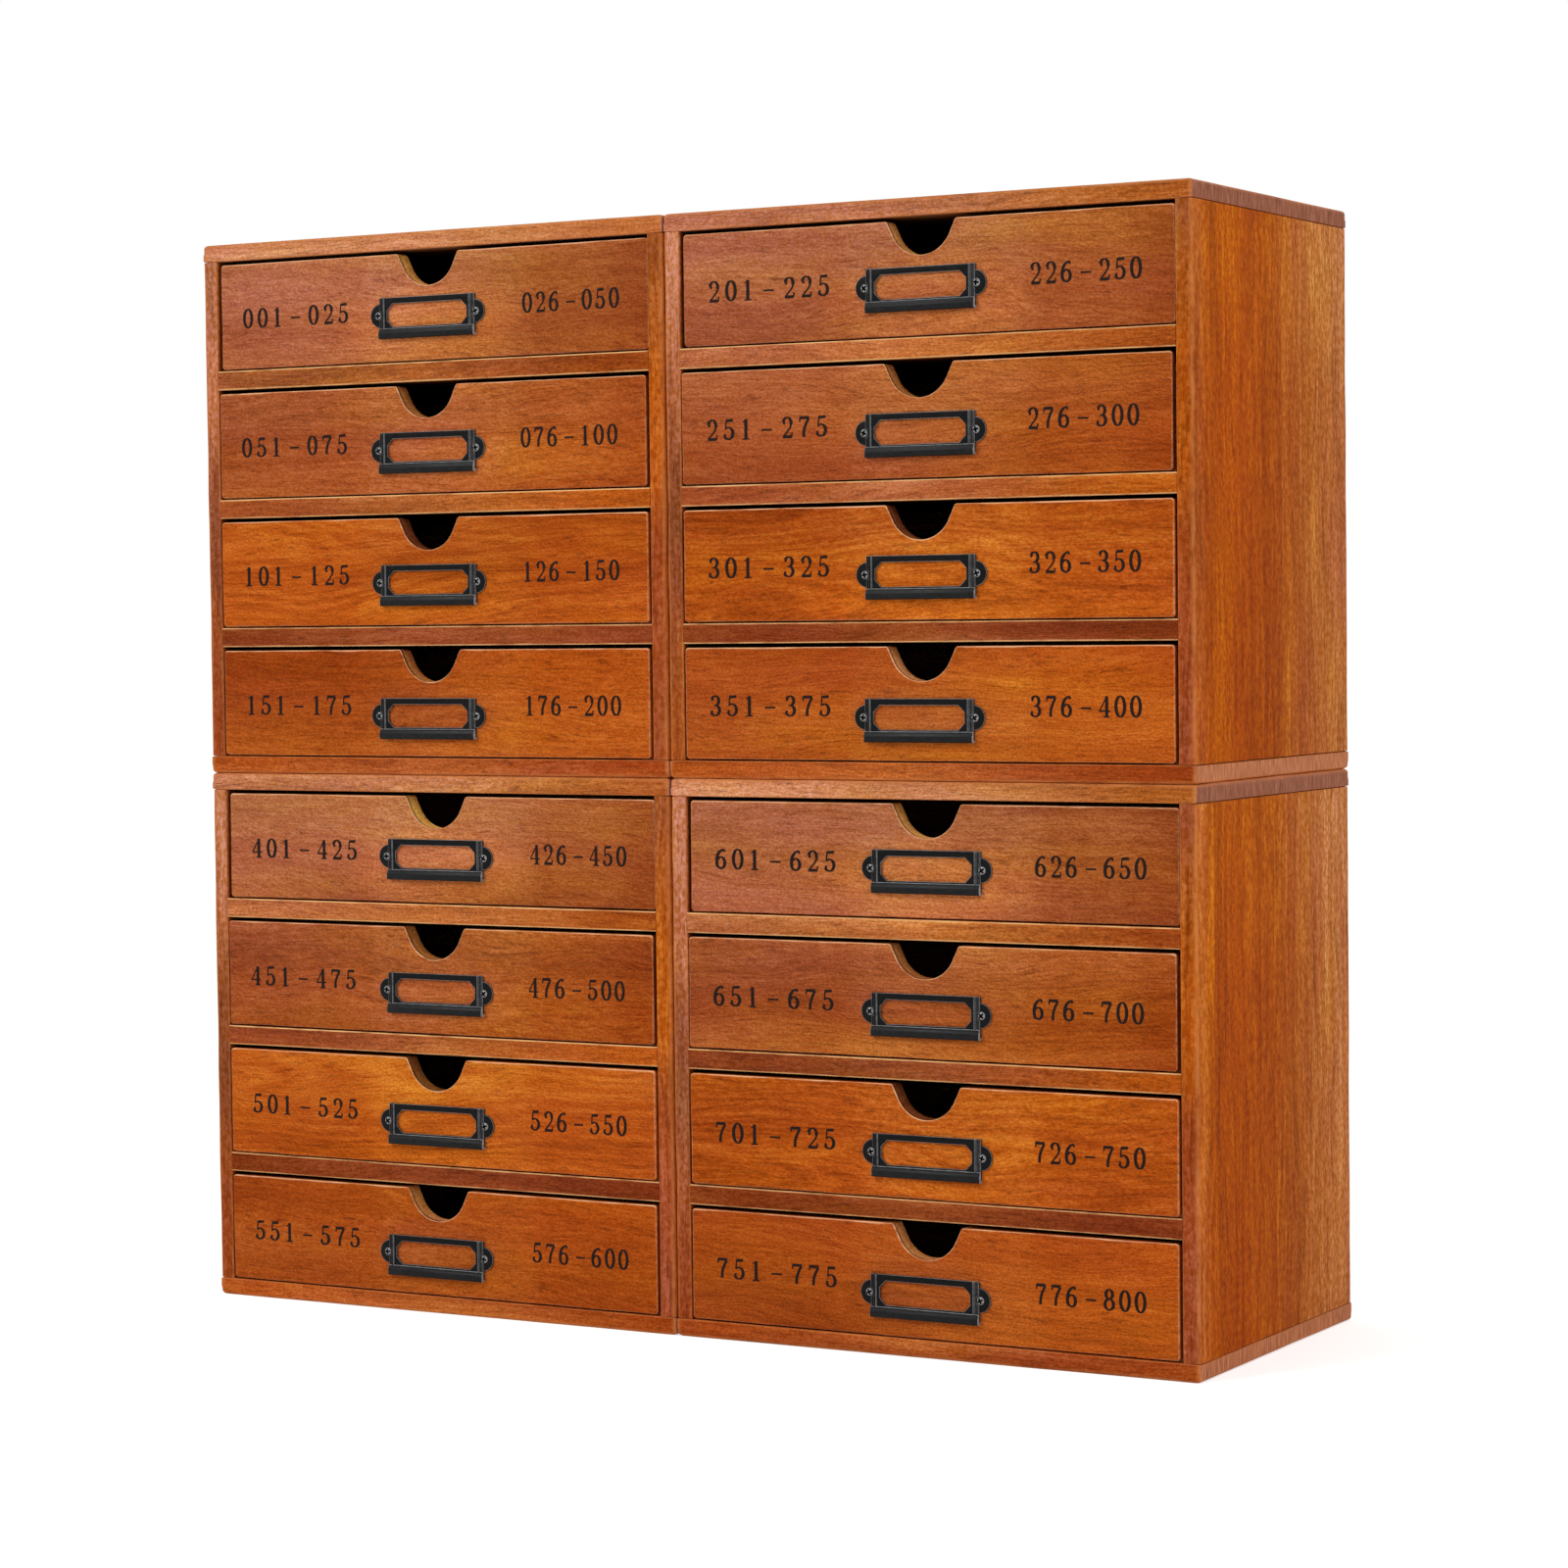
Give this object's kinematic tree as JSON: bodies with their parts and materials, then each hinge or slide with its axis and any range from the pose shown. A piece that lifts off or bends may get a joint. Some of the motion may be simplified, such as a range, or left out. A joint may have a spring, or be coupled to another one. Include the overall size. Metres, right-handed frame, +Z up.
{
  "type": "button storage drawers",
  "caption": "Bank of small stained-wood cabinets stacked side by side, with notched drawers and black label holders for buttons and haberdashery.",
  "frame": {"origin": "under the middle of the whole bank, on the surface it stands on", "axes": "+Z up; the drawers face -Y and slide out along -Y; +X runs from the left cabinets to the right ones"},
  "size_m": [0.5104, 0.1732, 0.5],
  "materials": {
    "stained_wood": "satin, stained and waxed, rubbed lighter along the edges",
    "drawer_wood": "matt, thinly stained",
    "plywood": "matt, thinly stained",
    "black_steel": "satin black, worn on the raised edges"
  },
  "bodies": {
    "cabinets": {"lower_left_case": "stained_wood", "lower_left_shelves": "stained_wood", "lower_left_back_panel": "plywood", "lower_right_case": "stained_wood", "lower_right_shelves": "stained_wood", "lower_right_back_panel": "plywood", "upper_left_case": "stained_wood", "upper_left_shelves": "stained_wood", "upper_left_back_panel": "plywood", "upper_right_case": "stained_wood", "upper_right_shelves": "stained_wood", "upper_right_back_panel": "plywood"},
    "lower_left_drawer_1": {"lower_left_drawer_1_front": "stained_wood", "lower_left_drawer_1_box": "drawer_wood", "lower_left_drawer_1_label_holder": "black_steel"},
    "lower_left_drawer_2": {"lower_left_drawer_2_front": "stained_wood", "lower_left_drawer_2_box": "drawer_wood", "lower_left_drawer_2_label_holder": "black_steel"},
    "lower_left_drawer_3": {"lower_left_drawer_3_front": "stained_wood", "lower_left_drawer_3_box": "drawer_wood", "lower_left_drawer_3_label_holder": "black_steel"},
    "lower_left_drawer_4": {"lower_left_drawer_4_front": "stained_wood", "lower_left_drawer_4_box": "drawer_wood", "lower_left_drawer_4_label_holder": "black_steel"},
    "lower_right_drawer_1": {"lower_right_drawer_1_front": "stained_wood", "lower_right_drawer_1_box": "drawer_wood", "lower_right_drawer_1_label_holder": "black_steel"},
    "lower_right_drawer_2": {"lower_right_drawer_2_front": "stained_wood", "lower_right_drawer_2_box": "drawer_wood", "lower_right_drawer_2_label_holder": "black_steel"},
    "lower_right_drawer_3": {"lower_right_drawer_3_front": "stained_wood", "lower_right_drawer_3_box": "drawer_wood", "lower_right_drawer_3_label_holder": "black_steel"},
    "lower_right_drawer_4": {"lower_right_drawer_4_front": "stained_wood", "lower_right_drawer_4_box": "drawer_wood", "lower_right_drawer_4_label_holder": "black_steel"},
    "upper_left_drawer_1": {"upper_left_drawer_1_front": "stained_wood", "upper_left_drawer_1_box": "drawer_wood", "upper_left_drawer_1_label_holder": "black_steel"},
    "upper_left_drawer_2": {"upper_left_drawer_2_front": "stained_wood", "upper_left_drawer_2_box": "drawer_wood", "upper_left_drawer_2_label_holder": "black_steel"},
    "upper_left_drawer_3": {"upper_left_drawer_3_front": "stained_wood", "upper_left_drawer_3_box": "drawer_wood", "upper_left_drawer_3_label_holder": "black_steel"},
    "upper_left_drawer_4": {"upper_left_drawer_4_front": "stained_wood", "upper_left_drawer_4_box": "drawer_wood", "upper_left_drawer_4_label_holder": "black_steel"},
    "upper_right_drawer_1": {"upper_right_drawer_1_front": "stained_wood", "upper_right_drawer_1_box": "drawer_wood", "upper_right_drawer_1_label_holder": "black_steel"},
    "upper_right_drawer_2": {"upper_right_drawer_2_front": "stained_wood", "upper_right_drawer_2_box": "drawer_wood", "upper_right_drawer_2_label_holder": "black_steel"},
    "upper_right_drawer_3": {"upper_right_drawer_3_front": "stained_wood", "upper_right_drawer_3_box": "drawer_wood", "upper_right_drawer_3_label_holder": "black_steel"},
    "upper_right_drawer_4": {"upper_right_drawer_4_front": "stained_wood", "upper_right_drawer_4_box": "drawer_wood", "upper_right_drawer_4_label_holder": "black_steel"}
  },
  "joints": [
    {"name": "lower_left_drawer_1_slide", "type": "slide", "parent": "cabinets", "child": "lower_left_drawer_1", "axis": [0, -1, 0], "range_m": [0, 0.125]},
    {"name": "lower_left_drawer_2_slide", "type": "slide", "parent": "cabinets", "child": "lower_left_drawer_2", "axis": [0, -1, 0], "range_m": [0, 0.125]},
    {"name": "lower_left_drawer_3_slide", "type": "slide", "parent": "cabinets", "child": "lower_left_drawer_3", "axis": [0, -1, 0], "range_m": [0, 0.125]},
    {"name": "lower_left_drawer_4_slide", "type": "slide", "parent": "cabinets", "child": "lower_left_drawer_4", "axis": [0, -1, 0], "range_m": [0, 0.125]},
    {"name": "lower_right_drawer_1_slide", "type": "slide", "parent": "cabinets", "child": "lower_right_drawer_1", "axis": [0, -1, 0], "range_m": [0, 0.125]},
    {"name": "lower_right_drawer_2_slide", "type": "slide", "parent": "cabinets", "child": "lower_right_drawer_2", "axis": [0, -1, 0], "range_m": [0, 0.125]},
    {"name": "lower_right_drawer_3_slide", "type": "slide", "parent": "cabinets", "child": "lower_right_drawer_3", "axis": [0, -1, 0], "range_m": [0, 0.125]},
    {"name": "lower_right_drawer_4_slide", "type": "slide", "parent": "cabinets", "child": "lower_right_drawer_4", "axis": [0, -1, 0], "range_m": [0, 0.125]},
    {"name": "upper_left_drawer_1_slide", "type": "slide", "parent": "cabinets", "child": "upper_left_drawer_1", "axis": [0, -1, 0], "range_m": [0, 0.125]},
    {"name": "upper_left_drawer_2_slide", "type": "slide", "parent": "cabinets", "child": "upper_left_drawer_2", "axis": [0, -1, 0], "range_m": [0, 0.125]},
    {"name": "upper_left_drawer_3_slide", "type": "slide", "parent": "cabinets", "child": "upper_left_drawer_3", "axis": [0, -1, 0], "range_m": [0, 0.125]},
    {"name": "upper_left_drawer_4_slide", "type": "slide", "parent": "cabinets", "child": "upper_left_drawer_4", "axis": [0, -1, 0], "range_m": [0, 0.125]},
    {"name": "upper_right_drawer_1_slide", "type": "slide", "parent": "cabinets", "child": "upper_right_drawer_1", "axis": [0, -1, 0], "range_m": [0, 0.125]},
    {"name": "upper_right_drawer_2_slide", "type": "slide", "parent": "cabinets", "child": "upper_right_drawer_2", "axis": [0, -1, 0], "range_m": [0, 0.125]},
    {"name": "upper_right_drawer_3_slide", "type": "slide", "parent": "cabinets", "child": "upper_right_drawer_3", "axis": [0, -1, 0], "range_m": [0, 0.125]},
    {"name": "upper_right_drawer_4_slide", "type": "slide", "parent": "cabinets", "child": "upper_right_drawer_4", "axis": [0, -1, 0], "range_m": [0, 0.125]}
  ]
}
